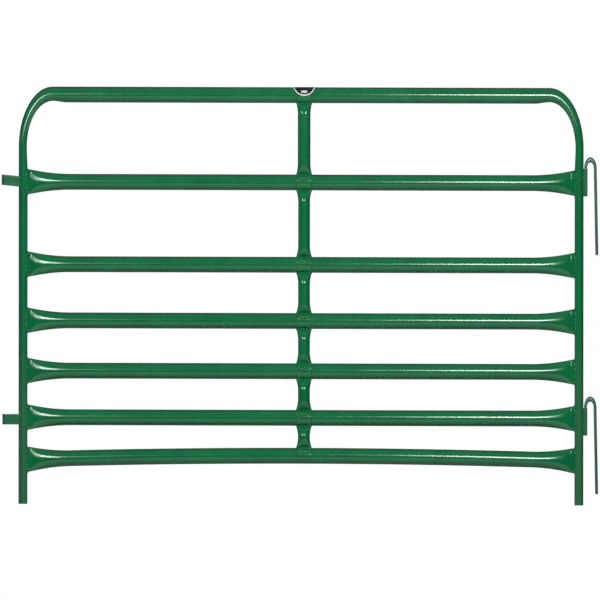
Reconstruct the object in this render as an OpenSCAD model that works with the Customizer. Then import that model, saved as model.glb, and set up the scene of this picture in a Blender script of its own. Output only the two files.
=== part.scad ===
// Livestock panel gate: one bent tube frame, six rails, six centre stays,
// two strap eyes on the left leg, and two drop pins in sleeves on the right leg.
// Millimetres. X runs along the gate, Y from front to back, Z up from the ground.

/* [Frame] */
// Height of the gate over the top tube
gate_h = 1267; // [1200:1:1400]
// Length of the gate over its two legs
gate_l = 3048; // [2700:1:3400]
// Outside diameter of the frame and rail tube
tube_d = 48.3; // [45:0.1:50]
// Wall of the frame and rail tube
tube_wall = 1.65; // [1.5:0.05:2]
// Radius of the two top corners, to the middle of the tube
bend_r = 160; // [140:1:190]

/* [Rails] */
// Heights of the six rails, from the top one down
rail_1_z = 978; // [970:1:986]
// Second rail
rail_2_z = 728; // [721:1:737]
// Third rail
rail_3_z = 557.5; // [552:0.5:564]
// Fourth rail
rail_4_z = 405; // [400:1:410]
// Fifth rail
rail_5_z = 263.5; // [259:0.5:268]
// Bottom rail, at its ends
rail_6_z = 135.5; // [132:0.5:142]
// How far the bottom rail rises at its middle
rail_6_bow = 13; // [4:0.5:15]
// Extra height of a rail's flattened end
end_flare = 26.5; // [20:0.5:28]
// Length over which a rail's end is flattened
end_run = 215; // [160:5:240]

/* [Centre stays] */
// Place of the stays along the gate
stay_x = 16; // [-20:1:30]
// Outside diameter of a stay
stay_d = 63.5; // [57:0.1:64]
// Width of the top stay, which is pressed a little oval
top_stay_w = 68; // [64:0.5:70]
// Width of a stay where it meets a rail
stay_end_w = 86; // [78:1:88]
// Length over which a stay's end is flattened
stay_run = 33; // [26:1:33]

/* [Strap eyes] */
// Height of the strap
eye_h = 32; // [28:1:40]
// Thickness of the strap
eye_t = 6; // [5:0.5:8]
// Width of the eye, outside
eye_w = 40; // [36:1:44]
// How far the upper eye stands out from the leg
upper_eye_out = 92; // [70:1:95]
// How far the lower eye stands out from the leg
lower_eye_out = 87; // [70:1:95]
// Height of the upper eye where it meets the leg
upper_eye_z = 979; // [970:1:990]
// Height of the lower eye
lower_eye_z = 257; // [252:1:268]
// How far the upper eye was bent up, in degrees
upper_eye_tilt = 3.2; // [0:0.1:5]

/* [Drop pins] */
// Outside diameter of a sleeve
sleeve_d = 21.3; // [20.6:0.1:22.4]
// Bore of a sleeve
sleeve_bore = 17.1; // [16.8:0.1:17.6]
// Length of a sleeve
sleeve_len = 84; // [76:1:100]
// Height of the middle of the upper sleeve
upper_sleeve_z = 980; // [970:1:990]
// Height of the middle of the lower sleeve
lower_sleeve_z = 254; // [250:1:262]
// Diameter of a pin's rod
rod_d = 15.9; // [15:0.1:16]
// Radius of a pin's arch, to the middle of the rod
arch_r = 26; // [24:0.5:30]
// Length of a pin's long leg
pin_long = 264; // [200:1:268]
// Length of a pin's short leg
pin_short = 78; // [70:1:82]
// Outward lean of the long leg, in degrees
pin_lean = 2; // [0:0.5:4]

/* [Badge] */
// Width of the blank badge on the top tube
badge_w = 118; // [100:1:140]
// Length of the badge round the tube
badge_l = 70; // [60:1:90]

/* [Hidden] */
$fn = 64;
tube_r = tube_d / 2;
leg_x = gate_l / 2 - tube_r;
top_z = gate_h - tube_r;
fit_gap = 0.2;
// points round a flattened tube
seg = 20;
// distance of the crease from the leg, and the depth of the tube there
crease = 17;
pinch = 8;
lip_in = 8;
lip_deep = 34;
rail_d = [crease, 28, 42, 60, 82, 108, 140, 178, crease + end_run];
sleeve_x = leg_x + tube_r + sleeve_d / 2 + 0.1;

green = [0.07, 0.19, 0.12];

// ---- flattened tubes -------------------------------------------------

// Outline of a tube squeezed to a height and a depth, as [depth, height] points.
// It is an ellipse at flat 0, and has straight sides at flat 1.
function oval(tall, deep, flat) = [
    for (k = [0 : seg - 1])
        let (a = 360 * k / seg, s = sin(a))
        [
            deep / 2 * cos(a),
            tall / 2 * s * (1 - flat) + ((tall - deep) / 2 * sign(s) + deep / 2 * s) * flat
        ]
];

// Depth of an ellipse that keeps the rail tube's girth at a given height.
function ellipse_depth(tall) =
    max(pinch, tube_d * pow(max(0, 1 - (tall / tube_d - 1) / 0.5708), 0.59));

// Depth that keeps a tube's girth at a given height, where its sides are straight.
function same_girth(d, tall, least) =
    max(least, (PI * d - 2 * tall) / (PI - 2));

// One ring of the sweep at a place along X, with its middle at a height.
function ring(x, z, tall, deep, flat = 1) = [
    for (p = oval(tall, deep, flat)) [x, p[0], z + p[1]]
];

// A closed solid through rings that all have seg points.
module sweep(rings) {
    n = len(rings);
    pts = [for (r = rings) each r];
    sides = [
        for (i = [0 : n - 2]) for (k = [0 : seg - 1])
            let (
                a = i * seg + k,
                b = a + seg,
                c = i * seg + (k + 1) % seg,
                d = c + seg
            )
            each [[a, b, d], [a, d, c]]
    ];
    first = [for (k = [0 : seg - 1]) k];
    last = [for (k = [seg - 1 : -1 : 0]) (n - 1) * seg + k];
    polyhedron(points = pts, faces = concat([first], sides, [last]), convexity = 4);
}

// ---- frame -----------------------------------------------------------

module pipe(len, r = tube_r, wall = tube_wall) {
    difference() {
        cylinder(h = len, r = r);
        translate([0, 0, -1]) cylinder(h = len + 2, r = r - wall);
    }
}

module bend() {
    rotate([90, 0, 0])
        rotate_extrude(angle = 90)
            translate([bend_r, 0])
                difference() {
                    circle(r = tube_r);
                    circle(r = tube_r - tube_wall);
                }
}

module frame_tube() {
    color(green) {
        for (s = [-1, 1])
            translate([s * leg_x, 0, 0]) pipe(top_z - bend_r);
        translate([leg_x - bend_r, 0, top_z - bend_r]) bend();
        translate([bend_r - leg_x, 0, top_z - bend_r]) mirror([1, 0, 0]) bend();
        translate([bend_r - leg_x, 0, top_z])
            rotate([0, 90, 0]) pipe(2 * (leg_x - bend_r));
    }
}

// ---- rails -----------------------------------------------------------

function end_tall(d) =
    tube_d + end_flare * pow(max(0, 1 - (d - crease) / end_run), 2);

// Rings of one rail end, from the leg inwards, as [distance, height, depth, flat].
function end_shape() = concat(
    [
        [-lip_in, tube_d + end_flare + 1, lip_deep, 1],
        [3, tube_d + end_flare + 1, 0.68 * lip_deep, 1],
        [11, tube_d + end_flare + 0.5, 0.4 * lip_deep, 0.6]
    ],
    [for (d = rail_d) [d, end_tall(d), ellipse_depth(end_tall(d)), 0]]
);

// One ring of a rail end, set in from the tube's outside.
function end_ring(x, z, s, in) = ring(x, z, s[1] - 2 * in, s[2] - 2 * in, s[3]);

function bowed(z, bow, x) = z + bow * (1 - pow(x / (leg_x - tube_r), 2));

module rail_solid(z, bow, in, reach) {
    x0 = leg_x - tube_r;
    shape = end_shape();
    n = len(shape);
    mid = bow > 0 ? [-900, -450, 0, 450, 900] : [];
    left = [
        for (i = [0 : n - 1])
            let (x = -x0 + shape[i][0] - (i == 0 ? reach : 0))
            end_ring(x, bowed(z, bow, x), shape[i], in)
    ];
    middle = [
        for (x = mid) ring(x, bowed(z, bow, x), tube_d - 2 * in, tube_d - 2 * in)
    ];
    right = [
        for (i = [n - 1 : -1 : 0])
            let (x = x0 - shape[i][0] + (i == 0 ? reach : 0))
            end_ring(x, bowed(z, bow, x), shape[i], in)
    ];
    sweep(concat(left, middle, right));
}

module rail(z, bow = 0) {
    color(green)
        difference() {
            rail_solid(z, bow, 0, 0);
            rail_solid(z, bow, tube_wall, 1);
            for (s = [-1, 1])
                translate([s * leg_x, 0, z - 60]) cylinder(h = 120, r = tube_r + fit_gap);
        }
}

module rail_1() { rail(rail_1_z); }
module rail_2() { rail(rail_2_z); }
module rail_3() { rail(rail_3_z); }
module rail_4() { rail(rail_4_z); }
module rail_5() { rail(rail_5_z); }
module rail_6() { rail(rail_6_z, rail_6_bow); }

// ---- centre stays ----------------------------------------------------

// Width of a stay at a distance from the rail, down to its width in mid-length.
function stay_wide(e, mid) =
    mid + (stay_end_w - mid) * pow(max(0, 1 - e / stay_run), 2);

// Rings of one stay end, from the rail outwards, as [distance, width, depth].
function stay_shape(mid) = concat(
    [[-12, stay_end_w - 3, 34], [-3, stay_end_w, 26]],
    [
        for (e = [0, 6, 13, 21, stay_run])
            [e, stay_wide(e, mid), same_girth(stay_d, stay_wide(e, mid), 12)]
    ]
);

module stay_solid(low, high, mid, in) {
    shape = stay_shape(mid);
    n = len(shape);
    up = [
        for (s = shape)
            ring(low + tube_r + s[0], 0, s[1] - 2 * in, s[2] - 2 * in)
    ];
    down = [
        for (i = [n - 1 : -1 : 0])
            ring(high - tube_r - shape[i][0], 0, shape[i][1] - 2 * in, shape[i][2] - 2 * in)
    ];
    translate([stay_x, 0, 0]) rotate([0, -90, 0]) sweep(concat(up, down));
}

// The lips of a stay, which lie over the front and back of a rail and
// reach past the middle of its height, or stop short of it.
module stay_lips(z, up, reach) {
    w = stay_end_w - 4;
    translate([stay_x, 0, z])
        intersection() {
            rotate([0, 90, 0])
                cylinder(h = w, r = tube_r + fit_gap + tube_wall, center = true);
            translate([-w, -50, up > 0 ? -reach : reach - 50]) cube([2 * w, 100, 50]);
        }
}

module stay(low, high, mid = stay_d, low_reach = -1, high_reach = -1) {
    color(green)
        difference() {
            union() {
                difference() {
                    stay_solid(low, high, mid, 0);
                    stay_solid(low, high, mid, tube_wall);
                }
                stay_lips(low, 1, low_reach);
                stay_lips(high, -1, high_reach);
            }
            for (z = [low, high])
                translate([stay_x, 0, z]) rotate([0, 90, 0])
                    cylinder(h = 120, r = tube_r + fit_gap, center = true);
        }
}

module stay_1() { stay(rail_1_z, top_z, top_stay_w, high_reach = -3); }
module stay_2() { stay(rail_2_z, rail_1_z); }
module stay_3() { stay(rail_3_z, rail_2_z); }
module stay_4() { stay(rail_4_z, rail_3_z); }
module stay_5() { stay(rail_5_z, rail_4_z); }
module stay_6() { stay(rail_6_z + rail_6_bow, rail_5_z, low_reach = 12); }

// ---- strap eyes ------------------------------------------------------

// The strap's outline from above, with its root at the origin and the loop at -X.
module eye_outline(out, in) {
    r = eye_w / 2;
    translate([r - out, 0]) circle(r = r - in);
    translate([r - out, in - r]) square([out - r + tube_r, 2 * (r - in)]);
}

module eye(z, out, tilt = 0) {
    color(green)
        difference() {
            translate([-leg_x - tube_r, 0, z]) rotate([0, tilt, 0])
                translate([0, 0, -eye_h / 2])
                    difference() {
                        linear_extrude(height = eye_h) eye_outline(out, 0);
                        translate([0, 0, -1])
                            linear_extrude(height = eye_h + 2) eye_outline(out, eye_t);
                    }
            translate([-leg_x, 0, z - eye_h])
                cylinder(h = 2 * eye_h, r = tube_r + fit_gap);
        }
}

module upper_eye() { eye(upper_eye_z, upper_eye_out, upper_eye_tilt); }
module lower_eye() { eye(lower_eye_z, lower_eye_out); }

// ---- drop pins and their sleeves -------------------------------------

module sleeve(z) {
    color(green)
        translate([sleeve_x, 0, z - sleeve_len / 2])
            pipe(sleeve_len, sleeve_d / 2, (sleeve_d - sleeve_bore) / 2);
}

module upper_sleeve() { sleeve(upper_sleeve_z); }
module lower_sleeve() { sleeve(lower_sleeve_z); }

// A rod that hangs down from the origin, with a bevelled end.
module rod(len) {
    bevel = 1.5;
    translate([0, 0, bevel - len]) cylinder(h = len - bevel, r = rod_d / 2);
    translate([0, 0, -len]) cylinder(h = bevel, r1 = rod_d / 2 - bevel, r2 = rod_d / 2);
}

module shank(z) {
    color(green)
        translate([sleeve_x, 0, z + sleeve_len / 2 + 1]) rod(pin_short);
}

module bow(z) {
    color(green)
        translate([sleeve_x + arch_r, 0, z + sleeve_len / 2 + 1.1]) {
            rotate([90, 0, 0]) rotate([0, 0, pin_lean])
                rotate_extrude(angle = 180 - pin_lean)
                    translate([arch_r, 0]) circle(r = rod_d / 2);
            rotate([0, -pin_lean, 0]) translate([arch_r, 0, 0]) rod(pin_long);
        }
}

module upper_pin_shank() { shank(upper_sleeve_z); }
module upper_pin_bow() { bow(upper_sleeve_z); }
module lower_pin_shank() { shank(lower_sleeve_z); }
module lower_pin_bow() { bow(lower_sleeve_z); }

// ---- badge -----------------------------------------------------------

// The badge is a thin oval skin wrapped over the top tube: a thick oval plate
// bent round the tube, less the tube itself.
badge_n = 12;
badge_top = 78;
badge_thick = 0.6;

function badge_half(x) =
    badge_l / 2 * sqrt(1 - pow(2 * x / badge_w, 2)) * 180 / (PI * tube_r);

function badge_row(x, r) = [
    for (k = [0 : badge_n])
        let (a = badge_top + badge_half(x) * (2 * k / badge_n - 1))
        [stay_x + x, -r * cos(a), top_z + r * sin(a)]
];

module badge_plate() {
    xs = [for (i = [0 : 14]) badge_w / 2 * sin(-84 + 168 * i / 14)];
    m = badge_n + 1;
    w = 2 * m;
    pts = [
        for (x = xs)
            each concat(
                badge_row(x, tube_r + badge_thick),
                [for (k = [m - 1 : -1 : 0]) badge_row(x, tube_r - 2)[k]]
            )
    ];
    n = len(xs);
    sides = [
        for (i = [0 : n - 2]) for (k = [0 : w - 1])
            let (
                a = i * w + k,
                b = a + w,
                c = i * w + (k + 1) % w,
                d = c + w
            )
            each [[a, d, b], [a, c, d]]
    ];
    // the two narrow ends are closed strip by strip
    last = (n - 1) * w;
    ends = [
        for (k = [0 : m - 2])
            each [
                [k, w - 2 - k, k + 1],
                [k, w - 1 - k, w - 2 - k],
                [last + k, last + k + 1, last + w - 2 - k],
                [last + k, last + w - 2 - k, last + w - 1 - k]
            ]
    ];
    polyhedron(points = pts, faces = concat(sides, ends), convexity = 6);
}

module badge() {
    color([0.05, 0.05, 0.06])
        difference() {
            badge_plate();
            translate([stay_x, 0, top_z]) rotate([0, 90, 0])
                cylinder(h = 2 * badge_w, r = tube_r + 0.1, center = true, $fn = 200);
        }
}

frame_tube();
rail_1();
rail_2();
rail_3();
rail_4();
rail_5();
rail_6();
stay_1();
stay_2();
stay_3();
stay_4();
stay_5();
stay_6();
upper_eye();
lower_eye();
upper_sleeve();
lower_sleeve();
upper_pin_shank();
upper_pin_bow();
lower_pin_shank();
lower_pin_bow();
badge();
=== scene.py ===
import math

import bmesh
import bpy
import numpy as np
from mathutils import Matrix, Vector


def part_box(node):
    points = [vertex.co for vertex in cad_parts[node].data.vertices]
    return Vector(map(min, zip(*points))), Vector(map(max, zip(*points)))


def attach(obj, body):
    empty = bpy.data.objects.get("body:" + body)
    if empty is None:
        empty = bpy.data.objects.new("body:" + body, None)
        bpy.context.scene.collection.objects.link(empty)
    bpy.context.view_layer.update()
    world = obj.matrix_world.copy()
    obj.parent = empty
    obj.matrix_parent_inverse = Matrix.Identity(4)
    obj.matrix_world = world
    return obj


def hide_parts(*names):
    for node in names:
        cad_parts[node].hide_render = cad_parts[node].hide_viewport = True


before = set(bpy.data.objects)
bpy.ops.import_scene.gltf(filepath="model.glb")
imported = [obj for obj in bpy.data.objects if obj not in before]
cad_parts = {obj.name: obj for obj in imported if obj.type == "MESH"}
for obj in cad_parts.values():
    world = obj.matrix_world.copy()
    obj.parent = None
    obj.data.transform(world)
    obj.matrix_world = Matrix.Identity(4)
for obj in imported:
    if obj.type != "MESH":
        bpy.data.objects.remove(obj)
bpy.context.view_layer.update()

# ---------------------------------------------------------------- sizes, in metres
box = {n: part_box(n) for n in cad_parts}
# the frame tube, its bends, and the rounded rim of its feet
TUBE_R = (box["frame_tube"][1][1] - box["frame_tube"][0][1]) / 2
WALL = 0.00165
LEG_X = box["frame_tube"][1][0] - TUBE_R
TOP_Z = box["frame_tube"][1][2] - TUBE_R
BEND_R = 0.160
BEND_FLAT = 0.19
FOOT_ROUND, FOOT_EDGE = 0.003, 0.0013
# a rail's pressed end: extra height, length, and the crease's distance from the leg and depth
FLARE, RUN, CREASE, PINCH = 0.0265, 0.215, 0.017, 0.008
# the lip from the crease to the leg: depth, reach past the leg's side, and extra height
LIP, LIP_IN, LIP_RISE = 0.034, 0.008, 0.001
END_TALL = 2 * TUBE_R + FLARE
# an ellipse has close to the round tube's girth when its depth follows these two
GIRTH_SPAN, GIRTH_POWER = 0.5708, 0.59
RAIL_GAP = 0.0003
BOW = 0.013
# the stays: their place, diameter, the top one's width, and the pressed ends' width and length
STAY_X = (box["stay_2"][0][0] + box["stay_2"][1][0]) / 2
STAY_D, TOP_STAY_W, STAY_W, STAY_RUN = 0.0635, 0.068, 0.086, 0.033
SLEEVE_X = (box["upper_sleeve"][0][0] + box["upper_sleeve"][1][0]) / 2
RAIL_Z = [(box[f"rail_{i}"][0][2] + box[f"rail_{i}"][1][2]) / 2 for i in range(1, 6)]
RAIL_6 = box["rail_6"][0][2] + (END_TALL + LIP_RISE) / 2
# the strap of an eye, the bore of a sleeve, and a drop pin's rod, arch and long leg
EYE_W, EYE_T, EYE_H, EYE_EDGE = 0.040, 0.006, 0.032, 0.0011
BORE_R, SLEEVE_EDGE = 0.00855, 0.0008
ROD_R, ARCH_R, PIN_LONG = 0.00795, 0.026, 0.264
PIN_LEAN = math.radians(2)
rng = np.random.default_rng(7)


# ---------------------------------------------------------------- node helpers
def new_material(name):
    mat = bpy.data.materials.new(name)
    mat.use_nodes = True
    tree = mat.node_tree
    tree.nodes.clear()
    out = tree.nodes.new("ShaderNodeOutputMaterial")
    bsdf = tree.nodes.new("ShaderNodeBsdfPrincipled")
    tree.links.new(bsdf.outputs[0], out.inputs[0])
    return mat, tree, bsdf


def coords(tree):
    return tree.nodes.new("ShaderNodeTexCoord").outputs["Object"]


def noise(tree, where, scale, detail=2.0, rough=0.5):
    n = tree.nodes.new("ShaderNodeTexNoise")
    n.inputs["Scale"].default_value = scale
    n.inputs["Detail"].default_value = detail
    n.inputs["Roughness"].default_value = rough
    tree.links.new(where, n.inputs["Vector"])
    return n.outputs[0]


def ramp(tree, fac, low, high, a=0.0, b=1.0):
    n = tree.nodes.new("ShaderNodeMapRange")
    n.interpolation_type = "SMOOTHSTEP"
    for key, v in (("From Min", low), ("From Max", high), ("To Min", a), ("To Max", b)):
        n.inputs[key].default_value = v
    tree.links.new(fac, n.inputs["Value"])
    return n.outputs[0]


def mix(tree, fac, a, b):
    n = tree.nodes.new("ShaderNodeMix")
    n.data_type = "RGBA"
    tree.links.new(fac, n.inputs[0])
    for s, v in ((n.inputs[6], a), (n.inputs[7], b)):
        if isinstance(v, tuple):
            s.default_value = (*v, 1)
        else:
            tree.links.new(v, s)
    return n.outputs[2]


def math_node(tree, op, a, b=None, c=None):
    n = tree.nodes.new("ShaderNodeMath")
    n.operation = op
    for s, v in zip(n.inputs, (a, b, c)):
        if v is None:
            continue
        if isinstance(v, (int, float)):
            s.default_value = v
        else:
            tree.links.new(v, s)
    return n.outputs[0]


def bump(tree, bsdf, height, strength, distance):
    n = tree.nodes.new("ShaderNodeBump")
    n.inputs["Strength"].default_value = strength
    n.inputs["Distance"].default_value = distance
    tree.links.new(height, n.inputs["Height"])
    tree.links.new(n.outputs[0], bsdf.inputs["Normal"])


# ---------------------------------------------------------------- materials
GREEN = (0.0042, 0.165, 0.0565)
DEEP = (0.0036, 0.144, 0.0492)
STEEL = (0.30, 0.29, 0.27)
SCUFF = (0.16, 0.14, 0.06)


def enamel(name, tone=1.0, wear=0.0, marks=(), dust_and_bounce_light=(), worn=(), sheen=(0.08, 0.115)):
    """Gloss paint over steel: orange peel, slow shade changes, and small chips.

    marks lists scuffs as x, y, z and size. The paler colour low down is given as the height
    where it starts, the one where it is full, and its colour: on the frame this is painted bounce
    light, paler towards the feet as if lit from the floor below; on the eyes and pin it starts above
    them and tints them all over as dust. worn lists bands of height rubbed by use, as low, top,
    colour and strength. sheen is the least and greatest roughness.
    """
    mat, tree, bsdf = new_material(name)
    at = coords(tree)
    cloud = ramp(tree, noise(tree, at, 5.0, 3.0), 0.35, 0.65)
    light = tuple(min(1, c * tone) for c in GREEN)
    dark = tuple(c * tone for c in DEEP)
    colour = mix(tree, cloud, dark, light)
    specks = ramp(tree, noise(tree, at, 95.0, 4.0, 0.62), 0.735 - wear, 0.75 - wear)
    colour = mix(tree, specks, colour, STEEL)
    if dust_and_bounce_light or worn:
        high = math_node(tree, "MULTIPLY_ADD", noise(tree, at, 14.0, 3.0), 0.05, -0.025)
        axes = tree.nodes.new("ShaderNodeSeparateXYZ")
        tree.links.new(at, axes.inputs[0])
        high = math_node(tree, "ADD", high, axes.outputs[2])
    # a paler colour below a height: on the frame it is painted bounce light, paler towards the feet; on
    # the eyes and pin it covers the whole part as dust
    if dust_and_bounce_light:
        colour = mix(tree, ramp(tree, high, dust_and_bounce_light[0], dust_and_bounce_light[1]), colour, dust_and_bounce_light[2])
    for low, top, tint, much in worn:
        a = ramp(tree, high, low - 0.01, low + 0.01)
        b = ramp(tree, high, top - 0.02, top + 0.02, much, 0.0)
        colour = mix(tree, math_node(tree, "MULTIPLY", a, b), colour, tint)
    for x, y, z, size in marks:
        sub = tree.nodes.new("ShaderNodeVectorMath")
        sub.operation = "DISTANCE"
        tree.links.new(at, sub.inputs[0])
        sub.inputs[1].default_value = (x, y, z)
        ragged = math_node(
            tree, "MULTIPLY_ADD", noise(tree, at, 240.0, 3.0), size * 1.4, -size * 0.7
        )
        away = math_node(tree, "ADD", sub.outputs["Value"], ragged)
        spot = ramp(tree, away, size * 0.8, size, 1.0, 0.0)
        colour = mix(tree, spot, colour, SCUFF)
    tree.links.new(colour, bsdf.inputs["Base Color"])
    rough = ramp(tree, noise(tree, at, 22.0, 3.0), 0.3, 0.7, *sheen)
    tree.links.new(rough, bsdf.inputs["Roughness"])
    bsdf.inputs["IOR"].default_value = 1.5
    peel = noise(tree, at, 260.0, 1.5)
    runs = noise(tree, at, 28.0, 2.0)
    bump(
        tree, bsdf, math_node(tree, "ADD", peel, math_node(tree, "MULTIPLY", runs, 3.0)),
        0.10, 0.0006,
    )
    return mat


def film(name, colour, rough):
    """Printed plastic film, a little dirty."""
    mat, tree, bsdf = new_material(name)
    at = coords(tree)
    dirt = ramp(tree, noise(tree, at, 60.0, 4.0), 0.35, 0.75)
    shade = tuple(c * 0.86 for c in colour)
    tree.links.new(mix(tree, dirt, colour, shade), bsdf.inputs["Base Color"])
    r = ramp(tree, noise(tree, at, 130.0, 2.0), 0.3, 0.7, rough * 0.85, rough * 1.2)
    tree.links.new(r, bsdf.inputs["Roughness"])
    bump(tree, bsdf, noise(tree, at, 180.0, 2.0), 0.08, 0.0004)
    return mat


def pale_floor():
    """A white studio floor, with a soft shadow near the gate and plain white far off."""
    mat, tree, bsdf = new_material("floor_paint")
    at = coords(tree)
    v = ramp(tree, noise(tree, at, 1.3, 3.0), 0.3, 0.7)
    tree.links.new(
        mix(tree, v, (0.80, 0.80, 0.795), (0.82, 0.82, 0.815)), bsdf.inputs["Base Color"]
    )
    bsdf.inputs["Roughness"].default_value = 0.85
    bsdf.inputs["Specular IOR Level"].default_value = 0.0
    away = tree.nodes.new("ShaderNodeVectorMath")
    away.operation = "MULTIPLY"
    tree.links.new(at, away.inputs[0])
    away.inputs[1].default_value = (0.6, 1, 0)
    far = tree.nodes.new("ShaderNodeVectorMath")
    far.operation = "LENGTH"
    tree.links.new(away.outputs[0], far.inputs[0])
    bsdf.inputs["Emission Color"].default_value = (1, 1, 1, 1)
    tree.links.new(
        ramp(tree, far.outputs["Value"], 0.6, 4.5, 0.52, 1.0), bsdf.inputs["Emission Strength"]
    )
    return mat


# the frame's legs are painted paler towards the feet, as painted bounce light from the floor
FRAME_PAINT = enamel(
    "frame_enamel", 1.0, 0.0,
    ((-0.521, -0.012, TOP_Z - 0.0197, 0.006), (0.583, -0.012, TOP_Z - 0.0197, 0.006)),
    dust_and_bounce_light=(0.60, 0.25, (0.026, 0.150, 0.066)),
)
RAIL_PAINT = enamel("rail_enamel", 0.97)
STAY_PAINT = enamel("stay_enamel", 0.98)
# the weld beads are painted darker than the rails, as painted shade for the dark crevices along the
# welds
WELD_PAINT = enamel("weld_enamel", 0.80, 0.01, sheen=(0.16, 0.30))
PIN_PAINT = enamel(
    "pin_enamel", 0.94, 0.02, dust_and_bounce_light=(1.6, 1.4, (0.030, 0.140, 0.074)), sheen=(0.16, 0.24),
    worn=((0.0, 0.10, (0.050, 0.085, 0.066), 0.8), (0.74, 0.83, (0.050, 0.085, 0.066), 0.8)),
)
EYE_PAINT = enamel(
    "eye_enamel", 0.98, 0.02, dust_and_bounce_light=(1.6, 1.4, (0.024, 0.150, 0.066)), sheen=(0.12, 0.16)
)
BLACK = film("badge_black", (0.010, 0.010, 0.011), 0.28)
WHITE = film("badge_white", (0.80, 0.80, 0.78), 0.30)


# ---------------------------------------------------------------- mesh helpers
def loop(tall, deep, corner=None, n=72):
    """n points evenly round a rounded rectangle, as (depth, height).

    They start at the front's middle and go upward.
    """
    a, b = tall / 2, deep / 2
    c = min(a, b) if corner is None else min(corner, a, b)
    t = np.linspace(0, math.pi / 2, 16)
    up = np.stack([-(b - c) - c * np.cos(t), (a - c) + c * np.sin(t)], 1)
    path = np.concatenate([[[-b, 0]], up, (up * [-1, 1])[::-1]])
    path = np.concatenate([path, (path * [1, -1])[::-1][:-1], [[-b, 0]]])
    step = np.hypot(*np.diff(path, axis=0).T)
    along = np.concatenate([[0], np.cumsum(step)])
    want = np.linspace(0, along[-1], n, endpoint=False)
    return np.stack([np.interp(want, along, path[:, k]) for k in (0, 1)], 1)


def ellipse_loop(tall, deep, n=72):
    """n points evenly round an ellipse, in the order that loop has."""
    t = np.linspace(0, 2 * math.pi, 361)
    path = np.stack([-deep / 2 * np.cos(t), tall / 2 * np.sin(t)], 1)
    along = np.concatenate([[0], np.cumsum(np.hypot(*np.diff(path, axis=0).T))])
    want = np.linspace(0, along[-1], n, endpoint=False)
    return np.stack([np.interp(want, along, path[:, k]) for k in (0, 1)], 1)


def build(name, verts, faces, mats, body="root", replaces=(), index=None):
    """A smooth piece on a body; index gives each face's material."""
    mesh = bpy.data.meshes.new(name)
    mesh.from_pydata([tuple(map(float, v)) for v in verts], [], faces)
    bm = bmesh.new()
    bm.from_mesh(mesh)
    bmesh.ops.recalc_face_normals(bm, faces=bm.faces)
    bm.to_mesh(mesh)
    bm.free()
    for m in mats:
        mesh.materials.append(m)
    if index:
        for f, k in zip(mesh.polygons, index):
            f.material_index = k
    for f in mesh.polygons:
        f.use_smooth = True
    obj = bpy.data.objects.new(name, mesh)
    bpy.context.scene.collection.objects.link(obj)
    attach(obj, body)
    if replaces:
        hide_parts(*replaces)
    return obj


def tube_mesh(rings, closed=False, cap=(False, False), start=0):
    """Vertices and quads through rings of equal size, counted from start."""
    n, m = len(rings[0]), len(rings)
    faces = []
    for i in range(m if closed else m - 1):
        j = (i + 1) % m
        for k in range(n):
            q = (k + 1) % n
            faces.append(
                (start + i * n + k, start + i * n + q, start + j * n + q, start + j * n + k)
            )
    if cap[0]:
        faces.append(tuple(start + k for k in range(n)))
    if cap[1]:
        faces.append(tuple(start + (m - 1) * n + k for k in range(n)))
    return np.concatenate(rings), faces


def along_path(path, section, closed=False, up=(0, 1, 0)):
    """Rings of a section carried along a path; section is one loop, or a list of one per point."""
    path = np.asarray(path, float)
    if closed:
        tang = np.roll(path, -1, 0) - np.roll(path, 1, 0)
    else:
        tang = np.gradient(path, axis=0)
    tang /= np.linalg.norm(tang, axis=1)[:, None]
    up = np.asarray(up, float)
    rings = []
    for i, (p, t) in enumerate(zip(path, tang)):
        u = up - t * np.dot(up, t)
        u /= np.linalg.norm(u)
        s = np.cross(t, u)
        sec = section[i] if isinstance(section, list) else section
        rings.append(p + sec[:, :1] * s + sec[:, 1:] * u)
    return rings


def circle(r, n):
    t = np.linspace(0, 2 * math.pi, n, endpoint=False)
    return np.stack([r * np.cos(t), r * np.sin(t)], 1)


def smooth01(x):
    x = np.clip(x, 0, 1)
    return x * x * (3 - 2 * x)


# ---------------------------------------------------------------- welds
weld_parts = {"verts": [], "faces": [], "count": 0}


def add_weld(verts, faces):
    weld_parts["verts"].append(verts)
    weld_parts["faces"].extend(faces)
    weld_parts["count"] += len(verts)


def bead(path, radius, pitch, normal, closed=False):
    """A weld bead along a path, with one ripple in each length of pitch."""
    path = np.asarray(path, float)
    if closed:
        path = np.concatenate([path, path[:1]])
    step = np.linalg.norm(np.diff(path, axis=0), axis=1)
    dist = np.concatenate([[0], np.cumsum(step)])
    count = max(8, int(dist[-1] / (pitch / 6)))
    s = np.linspace(0, dist[-1], count, endpoint=not closed)
    pts = np.stack([np.interp(s, dist, path[:, k]) for k in range(3)], 1)
    wander = np.cumsum(rng.normal(0, 1, (count, 3)), 0)
    wander -= np.linspace(0, 1, count)[:, None] * wander[-1]
    pts = pts + wander / (np.abs(wander).max() + 1e-9) * radius * 0.22
    ripple = 1 + 0.16 * np.abs(np.sin(math.pi * s / pitch + rng.uniform(0, 3)))
    slow = 1 + 0.12 * np.sin(s * 2 * math.pi / 0.023 + rng.uniform(0, 6))
    ends = np.ones(count)
    if not closed:
        e = np.minimum(s, dist[-1] - s) / (radius * 1.6)
        ends = np.sqrt(np.clip(e, 0.02, 1))
    size = radius * ripple * slow * ends
    sections = [circle(r, 12) for r in size]
    rings = along_path(pts, sections, closed, normal)
    add_weld(*tube_mesh(rings, closed, (not closed, not closed), weld_parts["count"]))


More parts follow.
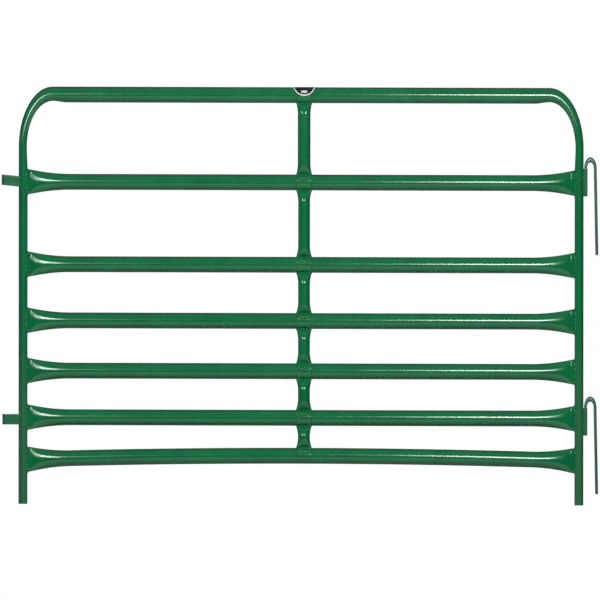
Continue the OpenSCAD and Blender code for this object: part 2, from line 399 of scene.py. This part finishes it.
# ---------------------------------------------------------------- frame tube
def frame_path():
    """Points of the bent tube from foot to foot, and the way to the inside of the bend at each."""
    z1, x1 = TOP_Z - BEND_R, LEG_X - BEND_R
    foot = [0, 0.0002, 0.0006, 0.0014, FOOT_ROUND, 0.006]
    leg = [*foot, *np.linspace(0.02, z1 - 0.09, 46), *np.linspace(z1 - 0.085, z1 - 0.002, 22)]
    turns = np.linspace(0, math.pi / 2, 60)
    top = [*np.linspace(-x1 + 0.002, -x1 + 0.10, 26), *np.linspace(-x1 + 0.13, 0, 24)]
    pts = [(-LEG_X, z) for z in leg]
    pts += [(-x1 - BEND_R * math.cos(a), z1 + BEND_R * math.sin(a)) for a in turns]
    pts += [(x, TOP_Z) for x in top]
    inward = [(1, 0)] * len(leg)
    inward += [(math.cos(a), -math.sin(a)) for a in turns]
    inward += [(0, -1)] * len(top)
    pts, inward = np.array(pts), np.array(inward, float)
    mirror = np.array([-1, 1])
    pts = np.concatenate([pts, (pts * mirror)[-2::-1]])
    inward = np.concatenate([inward, (inward * mirror)[-2::-1]])
    return pts, inward


def make_frame():
    pts, inward = frame_path()
    n = 72
    t = np.linspace(0, 2 * math.pi, n, endpoint=False)
    z1, x1 = TOP_Z - BEND_R, LEG_X - BEND_R
    rings = []
    for (x, z), (ix, iz) in zip(pts, inward):
        # the inside of each bend is pressed a little flat, and fades out along leg and top
        flat = float(smooth01((z - (z1 - 0.080)) / 0.085))
        if z >= TOP_Z - 1e-6:
            flat = float(smooth01((abs(x) - (x1 - 0.080)) / 0.082))
        across = TUBE_R * np.cos(t)
        across = np.where(across > 0, across * (1 - BEND_FLAT * flat), across)
        depth = TUBE_R * np.sin(t)
        if z < FOOT_ROUND:
            k = 1 - FOOT_EDGE / TUBE_R * (1 - math.sqrt(1 - (1 - z / FOOT_ROUND) ** 2))
            across, depth = across * k, depth * k
        rings.append(np.stack([x + across * ix, depth, z + across * iz], 1))
    verts, faces = tube_mesh(rings)
    verts = [verts]
    count = len(verts[0])
    # the open foot of each leg: the cut edge and the inside of the tube
    rim, bore = 1 - FOOT_EDGE / TUBE_R, 1 - WALL / TUBE_R
    for s in (-1, 1):
        inner = []
        for z, k in ((0, rim), (0, bore), (0.09, bore)):
            x = s * LEG_X + TUBE_R * k * np.cos(t)
            inner.append(np.stack([x, TUBE_R * k * np.sin(t), np.full(n, z)], 1))
        v, f = tube_mesh(inner, cap=(False, True), start=count)
        verts.append(v)
        faces += f
        count += len(v)
    verts = np.concatenate(verts)
    build("frame_tube_skin", verts, faces, [FRAME_PAINT], replaces=["frame_tube"])


# ---------------------------------------------------------------- rails
def end_section(d):
    """Height, depth and flatness of a rail at a distance from the leg."""
    if d >= CREASE:
        tall = 2 * TUBE_R + FLARE * max(0.0, 1 - (d - CREASE) / RUN) ** 2
        left = max(0.0, 1 - (tall / (2 * TUBE_R) - 1) / GIRTH_SPAN)
        return tall, max(PINCH, 2 * TUBE_R * left ** GIRTH_POWER), 0.0
    t = (CREASE - d) / (CREASE + LIP_IN)
    flat = float(smooth01(t * 2))
    return END_TALL + LIP_RISE * flat, PINCH + (LIP - PINCH) * t ** 0.85, flat


def make_rail(i, z, bow=0.0):
    x0 = LEG_X - TUBE_R
    d_list = [*np.linspace(-LIP_IN, CREASE - 0.001, 12), *(CREASE + RUN * np.linspace(0, 1, 40) ** 1.15)]
    middle = np.linspace(-x0 + CREASE + RUN + 0.03, x0 - CREASE - RUN - 0.03, 40)
    # each station is a place along X and its distance from the leg; 1.0 is past both ends
    stations = [(-x0 + d, d) for d in d_list] + [(x, 1.0) for x in middle]
    stations += [(x0 - d, d) for d in reversed(d_list)]
    rings = []
    for x, d in stations:
        tall, deep, flat = end_section(d)
        sec = ellipse_loop(tall, deep) * (1 - flat) + loop(tall, deep) * flat
        xs = np.full(len(sec), x)
        side = -1 if x < 0 else 1
        edge = side * (LEG_X - np.sqrt(np.maximum((TUBE_R + RAIL_GAP) ** 2 - sec[:, 0] ** 2, 0)))
        xs = np.where(np.abs(xs) > np.abs(edge), edge, xs)
        zc = z + bow * (1 - (x / x0) ** 2)
        rings.append(np.stack([xs, sec[:, 0], zc + sec[:, 1]], 1))
    verts, faces = tube_mesh(rings)
    build(f"rail_{i}_skin", verts, faces, [RAIL_PAINT], replaces=[f"rail_{i}"])
    for ring in (rings[0], rings[-1]):
        bead(ring, 0.0031, 0.0048, closed=True, normal=(0.93, 0.2, 0.3))


# ---------------------------------------------------------------- centre stays
def stay_section(h, tip, mid):
    """Width, depth and corner of a stay at a height over the middle of the rail it stands on."""
    shell_r = TUBE_R + 0.0021
    e = h - TUBE_R
    wide = mid + (STAY_W - mid) * (max(0.0, 1 - e / STAY_RUN) ** 2 if e > 0 else 1.0)
    if e < 0:
        wide = STAY_W - 0.004 * smooth01(-e / 0.006)
    girth = max(0.012, (math.pi * STAY_D - 2 * wide) / (math.pi - 2)) if e > -0.002 else 0.0
    shell = 2 * math.sqrt(max(0.0, shell_r ** 2 - h ** 2))
    deep = max(girth, shell)
    k = float(smooth01((e + 0.006) / 0.018))
    corner = 0.004 * (1 - k) + deep / 2 * k
    round_off = max(0.0, 1 - (h - tip) / 0.008)
    return wide - 0.016 * round_off ** 2, deep, corner


def stay_heights(tip, length):
    """Heights over a rail's middle of the rings in half a stay, from its lip to mid-length."""
    hs = list(tip + (TUBE_R + 0.001 - tip) * np.linspace(0, 1, 22))
    hs += list(TUBE_R + 0.002 + STAY_RUN * np.linspace(0, 1, 18))
    if length > TUBE_R + STAY_RUN + 0.016:
        hs += list(np.linspace(TUBE_R + STAY_RUN + 0.006, length - 0.004, 6))
    return [h for h in hs if h <= length - 0.003]


def make_stay(i, low, high, mid=STAY_D, low_tip=0.001, high_tip=0.001):
    """A stay between two tubes; each tip is the height at which a lip ends on its tube."""

    def ring(wide, deep, corner, z):
        sec = loop(wide, deep, corner)
        return np.stack([STAY_X + sec[:, 1], sec[:, 0], np.full(len(sec), z)], 1)

    rings = []
    for centre, tip, sign in ((low, low_tip, 1), (high, high_tip, -1)):
        # the first ring lies just under the lip's edge and closes it on the tube
        wide, _, corner = stay_section(tip, tip, mid)
        deep = 2 * math.sqrt((TUBE_R - 0.0004) ** 2 - tip ** 2)
        part = [ring(wide - 0.002, deep, corner, centre + sign * (tip + 0.0004))]
        for h in stay_heights(tip, (high - low) / 2):
            part.append(ring(*stay_section(h, tip, mid), centre + sign * h))
        rings += part if sign > 0 else part[::-1]
    verts, faces = tube_mesh(rings)
    build(f"stay_{i}_skin", verts, faces, [STAY_PAINT], replaces=[f"stay_{i}"])


def dab(x, a, z_rail, wide, high, face):
    """A flattened blob of weld on a rail's front or back, at an angle up from its middle."""
    n, m = 20, 9
    r = TUBE_R + 0.0022
    rings = []
    for i in range(m + 1):
        t = math.pi / 2 * i / m
        rad = r - 0.0012 + 0.0026 * math.sin(t)
        ring = []
        for k in range(n):
            u = 2 * math.pi * k / n
            dx, dz = wide / 2 * math.cos(t) * math.cos(u), high / 2 * math.cos(t) * math.sin(u)
            turn = a + dz / r
            ring.append((STAY_X + x + dx, face * rad * math.cos(turn), z_rail + rad * math.sin(turn)))
        rings.append(np.array(ring))
    add_weld(*tube_mesh(rings, start=weld_parts["count"]))


def crossing(z_rail, hot=1.0):
    """The weld round a stay's end where it stands on a rail: a wandering bead with thicker dabs."""
    for face in (-1, 1):
        n = 46
        xs = np.linspace(-0.043, 0.043, n)
        turn = math.radians(24) + 0.13 * np.interp(
            np.arange(n), np.linspace(0, n - 1, 13), rng.uniform(-1, 1, 13)
        )
        r = TUBE_R + 0.0020
        bead(
            np.stack([STAY_X + xs, face * r * np.cos(turn), z_rail + r * np.sin(turn)], 1),
            0.0024, 0.0050, normal=(0, 1, 0.2),
        )
        for x, a, wide, high in (
            (-0.037, 15, 0.014, 0.010), (-0.022, 13, 0.013, 0.010), (-0.017, 44, 0.010, 0.009),
            (0.001, 34, 0.012, 0.009), (0.024, 13, 0.018, 0.011), (0.040, 15, 0.013, 0.010),
        ):
            dab(
                x + rng.uniform(-0.002, 0.002), math.radians(a + rng.uniform(-3, 3)),
                z_rail, wide * hot, high * hot, face,
            )


def lip_seam(z_rail, up):
    """The beads along both side edges of a stay's lip, round the front and back of a rail."""
    for face in (-1, 1):
        for side in (-1, 1):
            a = np.radians(np.linspace(6, 58, 20)) * up
            xs = STAY_X + side * (0.0400 + 0.0012 * np.sin(np.linspace(0, 7, 20)))
            r = TUBE_R + 0.0008
            bead(
                np.stack([xs, face * r * np.cos(a), z_rail + r * np.sin(a)], 1),
                0.0017, 0.0040, normal=(1, 0, 0),
            )


# ---------------------------------------------------------------- eyes, sleeves, pins
def make_eye(name, z, out, tilt=0.0):
    """A strap bent round to an open loop, which stands out from the left leg."""
    r = (EYE_W - EYE_T) / 2
    tip = -LEG_X - TUBE_R - out + EYE_W / 2
    xs = np.linspace(-LEG_X - 0.0145, tip, 14)
    front = [(x, -r) for x in xs]
    a = np.linspace(-math.pi / 2, -3 * math.pi / 2, 40)[1:-1]
    bend = [(tip + r * math.cos(t), r * math.sin(t)) for t in a]
    back = [(x, r) for x in xs[::-1]]
    path = np.array([(x, y, 0) for x, y in front + bend + back])
    rings = along_path(path, loop(EYE_H, EYE_T, EYE_EDGE, 40), up=(0, 0, 1))
    verts, faces = tube_mesh(rings, cap=(True, True))
    px = -LEG_X - TUBE_R
    c, s = math.cos(math.radians(tilt)), math.sin(math.radians(tilt))

    def place(v):
        x, zz = v[:, 0] - px, v[:, 2]
        return np.stack([px + x * c + zz * s, v[:, 1], z - x * s + zz * c], 1)

    build(name + "_skin", place(verts), faces, [EYE_PAINT], replaces=[name])
    for y in (-r, r):
        x = -LEG_X - math.sqrt(TUBE_R ** 2 - y ** 2) - 0.0006
        zs = np.linspace(-0.0165, 0.0165, 16)
        line = np.stack([np.full(16, x), np.full(16, y * 1.17), zs], 1)
        bead(place(line), 0.0024, 0.0042, normal=(0, 1, 0))


def make_sleeve(name):
    lo, hi = box[name]
    outer, inner, edge = (hi[0] - lo[0]) / 2, BORE_R, SLEEVE_EDGE
    prof = [
        (inner, lo[2] + edge), (inner + edge, lo[2]), (outer - edge, lo[2]), (outer, lo[2] + edge),
        (outer, hi[2] - edge), (outer - edge, hi[2]), (inner + edge, hi[2]), (inner, hi[2] - edge),
    ]
    n = 48
    rings = []
    for rr, z in prof:
        c = circle(rr, n)
        rings.append(np.stack([SLEEVE_X + c[:, 0], c[:, 1], np.full(n, z)], 1))
    verts, faces = tube_mesh(rings, closed=True)
    obj = build(name + "_skin", verts, faces, [EYE_PAINT], replaces=[name])
    obj.data.set_sharp_from_angle(angle=math.radians(35))
    for y in (-1, 1):
        zs = np.linspace(lo[2] + 0.006, hi[2] - 0.006, 30)
        x = LEG_X + TUBE_R - 0.0005
        line = np.stack([np.full(30, x), np.full(30, y * 0.0058), zs], 1)
        bead(line, 0.0030, 0.0046, normal=(0, 1, 0))


def make_bow(name, body):
    """The arch and the long leg of a drop pin."""
    centre_z = box[name][1][2] - ROD_R - ARCH_R
    centre_x = SLEEVE_X + ARCH_R
    turns = np.linspace(math.pi, PIN_LEAN, 60)
    path = [(centre_x + ARCH_R * math.cos(t), 0, centre_z + ARCH_R * math.sin(t)) for t in turns]
    px, _, pz = path[-1]
    ends = [PIN_LONG - 0.0007, PIN_LONG]
    for s in [*np.linspace(0.004, PIN_LONG - 0.0015, 60), *ends]:
        path.append((px + s * math.sin(PIN_LEAN), 0, pz - s * math.cos(PIN_LEAN)))
    sections = [circle(ROD_R, 32)] * (len(path) - 2)
    sections += [circle(ROD_R - 0.0006, 32), circle(ROD_R - 0.0016, 32)]
    verts, faces = tube_mesh(along_path(path, sections), cap=(True, True))
    obj = build(
        name + "_skin", verts, faces, [PIN_PAINT], body=body, replaces=[name]
    )
    obj.data.set_sharp_from_angle(angle=math.radians(50))


# ---------------------------------------------------------------- badge
def make_badge():
    """A dark oval film wrapped over the top tube, with a pale rim and a plain pale bar."""
    # the solid's plate stops at 84 degrees of its oval, so its box is that much short
    half_w = (box["badge"][1][0] - box["badge"][0][0]) / 2 / math.sin(math.radians(84))
    half_l, mid = 0.035, math.radians(78)
    cx = (box["badge"][0][0] + box["badge"][1][0]) / 2

    def wrap(u, v, lift):
        a = mid + v / TUBE_R
        r = TUBE_R + lift
        return (cx + u, -r * math.cos(a), TOP_Z + r * math.sin(a))

    n, rim = 96, 0.90
    steps = [0.0, 0.2, 0.4, 0.6, 0.75, rim, rim + 0.002, 0.95, 0.985, 1.0, 1.0]
    lifts = [0.0006] * 9 + [0.0005, 0.0001]
    verts, faces, index = [wrap(0, 0, 0.0006)], [], []
    for k, l in zip(steps[1:], lifts[1:]):
        for t in np.linspace(0, 2 * math.pi, n, endpoint=False):
            u, v = half_w * 0.995 * k * math.cos(t), half_l * 0.995 * k * math.sin(t)
            verts.append(wrap(u, v, l))
    for j in range(n):
        faces.append((0, 1 + j, 1 + (j + 1) % n))
        index.append(0)
    for i in range(len(steps) - 2):
        for j in range(n):
            q = (j + 1) % n
            faces.append((1 + i * n + j, 1 + i * n + q, 1 + (i + 1) * n + q, 1 + (i + 1) * n + j))
            index.append(1 if steps[i + 1] >= rim else 0)
    build(
        "badge_skin", verts, faces, [BLACK, WHITE], replaces=["badge"],
        index=index,
    )
    verts, faces = [], []
    us, vs = np.linspace(-0.016, 0.016, 13), np.linspace(-0.0250, -0.0185, 7)
    for u in us:
        for v in vs:
            verts.append(wrap(u, v, 0.00068))
    for i in range(12):
        for j in range(6):
            q = i * 7 + j
            faces.append((q, q + 1, q + 8, q + 7))
    build("badge_bar", verts, faces, [WHITE])


# ---------------------------------------------------------------- put it together
make_frame()
for i, z in enumerate(RAIL_Z, 1):
    make_rail(i, z)
make_rail(6, RAIL_6, BOW)
# the heights at which the stays stand, from the top tube down
levels = [TOP_Z, *RAIL_Z, RAIL_6 + BOW * (1 - (STAY_X / LEG_X) ** 2)]
for i in range(1, 7):
    make_stay(
        i, levels[i], levels[i - 1], TOP_STAY_W if i == 1 else STAY_D,
        low_tip=-0.012 if i == 6 else 0.001, high_tip=0.003 if i == 1 else 0.001,
    )
for k, z in enumerate(levels):
    if k > 0:
        crossing(z, 1.0 if k == 1 else 0.8)
        lip_seam(z, 1)
    if k < 6:
        lip_seam(z, -1)
make_eye("upper_eye", 0.979, 0.092, 3.2)
make_eye("lower_eye", 0.257, 0.087)
make_sleeve("upper_sleeve")
make_sleeve("lower_sleeve")
make_bow("upper_pin_bow", "upper_bow")
make_bow("lower_pin_bow", "lower_bow")
make_badge()
build("weld_beads", np.concatenate(weld_parts["verts"]), weld_parts["faces"], [WELD_PAINT])
for name in ("upper_pin_shank", "lower_pin_shank"):
    shank = bpy.data.objects[name]
    shank.data.materials.clear()
    shank.data.materials.append(PIN_PAINT)

# ---------------------------------------------------------------- floor, light, camera
bpy.ops.mesh.primitive_plane_add(size=60, location=(0, 0, 0))
floor = bpy.context.object
floor.name = "floor"
floor.data.materials.append(pale_floor())
floor.visible_glossy = False
floor.visible_diffuse = False


def area(name, where, aim, size, power, diffuse=True, glossy=True):
    lamp = bpy.data.lights.new(name, "AREA")
    lamp.shape = "RECTANGLE"
    lamp.size, lamp.size_y = size
    lamp.energy = power
    obj = bpy.data.objects.new(name, lamp)
    bpy.context.scene.collection.objects.link(obj)
    obj.location = where
    obj.rotation_euler = (Vector(aim) - Vector(where)).to_track_quat("-Z", "Y").to_euler()
    obj.visible_diffuse = diffuse
    obj.visible_glossy = glossy


def strip(name, edges, tall=2.0, far=8.0, up=15.0, z=0.7):
    """Softboxes side by side, seen only in reflections; edges are [x, radiance]."""
    e = math.radians(up)
    for k, ((x0, r0), (x1, r1)) in enumerate(zip(edges, edges[1:])):
        x, wide = (x0 + x1) / 2, x1 - x0
        power = (r0 + r1) / 2 * math.pi * wide * tall
        area(
            f"{name}_{k}", (x, -far * math.cos(e), z + far * math.sin(e)), (x, 0, z),
            (wide, tall), power, diffuse=False,
        )


area("front_key", (0.3, -7.0, 2.6), (0, 0, 0.6), (6.0, 3.2), 560, glossy=False)
area("back_fill", (0.0, 6.0, 1.9), (0, 0, 0.6), (6.0, 2.4), 300, glossy=False)
strip("line_right", (
    (0.30, 0), (0.43, 1.1), (0.53, 2.4), (0.64, 6.5), (0.75, 14), (0.86, 22), (0.97, 28),
    (1.9, 28), (2.3, 16), (2.7, 6), (3.1, 1), (3.6, 0.3),
))
strip("line_left", (
    (-10.0, 0.5), (-7.0, 1.5), (-4.8, 4.5), (-3.5, 14), (-2.5, 28), (-1.9, 7), (-1.5, 3.5),
    (-1.2, 2.4), (-1.0, 1), (-0.85, 0),
))

# two tall softboxes that show only in reflections
SIDE_FAR, SIDE_Z, SIDE_TALL = 8, 0.75, 4.0
for name, turn, radiance, wide in (("side_left", -98, 1.6, 1.2), ("side_near", 9, 0.8, 0.5)):
    a = math.radians(turn)
    area(
        name, (SIDE_FAR * math.sin(a), -SIDE_FAR * math.cos(a), SIDE_Z), (0, 0, SIDE_Z),
        (wide, SIDE_TALL), radiance * math.pi * wide * SIDE_TALL, diffuse=False,
    )


def background(tree, strength=1.0):
    n = tree.nodes.new("ShaderNodeBackground")
    n.inputs[0].default_value = (1, 1, 1, 1)
    n.inputs[1].default_value = strength
    return n


def studio_world():
    """White to the camera, faint in diffuse light, and a banded room to reflections."""
    world = bpy.data.worlds.new("studio")
    bpy.context.scene.world = world
    world.use_nodes = True
    tree = world.node_tree
    tree.nodes.clear()
    axes = tree.nodes.new("ShaderNodeSeparateXYZ")
    tree.links.new(tree.nodes.new("ShaderNodeTexCoord").outputs["Generated"], axes.inputs[0])
    # grey levels from straight down, at 0, to straight up, at 1
    sky = tree.nodes.new("ShaderNodeValToRGB")
    bands = sky.color_ramp.elements
    bands[0].color = (0.55, 0.55, 0.55, 1)
    bands[1].color = (0.35, 0.35, 0.35, 1)
    for at, v in ((0.22, 0.95), (0.330, 0.95), (0.352, 0.03), (0.63, 0.02), (0.78, 0.16)):
        bands.new(at).color = (v, v, v, 1)
    tree.links.new(math_node(tree, "MULTIPLY_ADD", axes.outputs[2], 0.5, 0.5), sky.inputs[0])
    mirror = background(tree)
    tree.links.new(sky.outputs[0], mirror.inputs[0])
    tree.links.new(ramp(tree, axes.outputs[1], 0.0, 0.95, 1.0, 0.35), mirror.inputs[1])

    def switch(flag, a, b):
        m = tree.nodes.new("ShaderNodeMixShader")
        for s, v in zip(m.inputs, (flag, a, b)):
            tree.links.new(v, s)
        return m.outputs[0]

    ray = tree.nodes.new("ShaderNodeLightPath").outputs
    shader = switch(ray["Is Glossy Ray"], background(tree, 0.06).outputs[0], mirror.outputs[0])
    shader = switch(ray["Is Camera Ray"], shader, background(tree).outputs[0])
    out = tree.nodes.new("ShaderNodeOutputWorld")
    tree.links.new(shader, out.inputs[0])


studio_world()
bpy.context.scene.view_settings.view_transform = "Standard"

# The picture is narrower than a true gate's, by SQUEEZE. The camera is orthographic with an
# oblique up axis, which gives that picture of a gate of true proportions.
WIDE_STEP, TALL_STEP, STEPS = 0.005396, 0.003035, 600  # metres per step across and up
SQUEEZE = TALL_STEP / WIDE_STEP
ROLL = 0.0016
CAMERA_AT = (-0.0057, -5.2, 0.6213)


def picture_camera():
    cam = bpy.data.cameras.new("camera")
    cam.type = "ORTHO"
    cam.ortho_scale = STEPS * WIDE_STEP
    cam.clip_end = 60
    eye = bpy.data.objects.new("camera", cam)
    rig = bpy.data.objects.new("camera_rig", None)
    for o in (eye, rig):
        bpy.context.scene.collection.objects.link(o)
    right = Vector((1, 0, ROLL))
    up = Vector((-ROLL * SQUEEZE, -math.sqrt(1 - SQUEEZE ** 2), SQUEEZE))
    ahead = Vector((0, 1, 0))
    m = Matrix.Identity(4)
    for k in range(3):
        m[k][0], m[k][1], m[k][2], m[k][3] = right[k], up[k], -ahead[k], CAMERA_AT[k]
    # location, rotation and scale cannot hold an oblique axis, but this matrix can
    eye.parent = rig
    eye.matrix_parent_inverse = m
    bpy.context.scene.camera = eye


picture_camera()
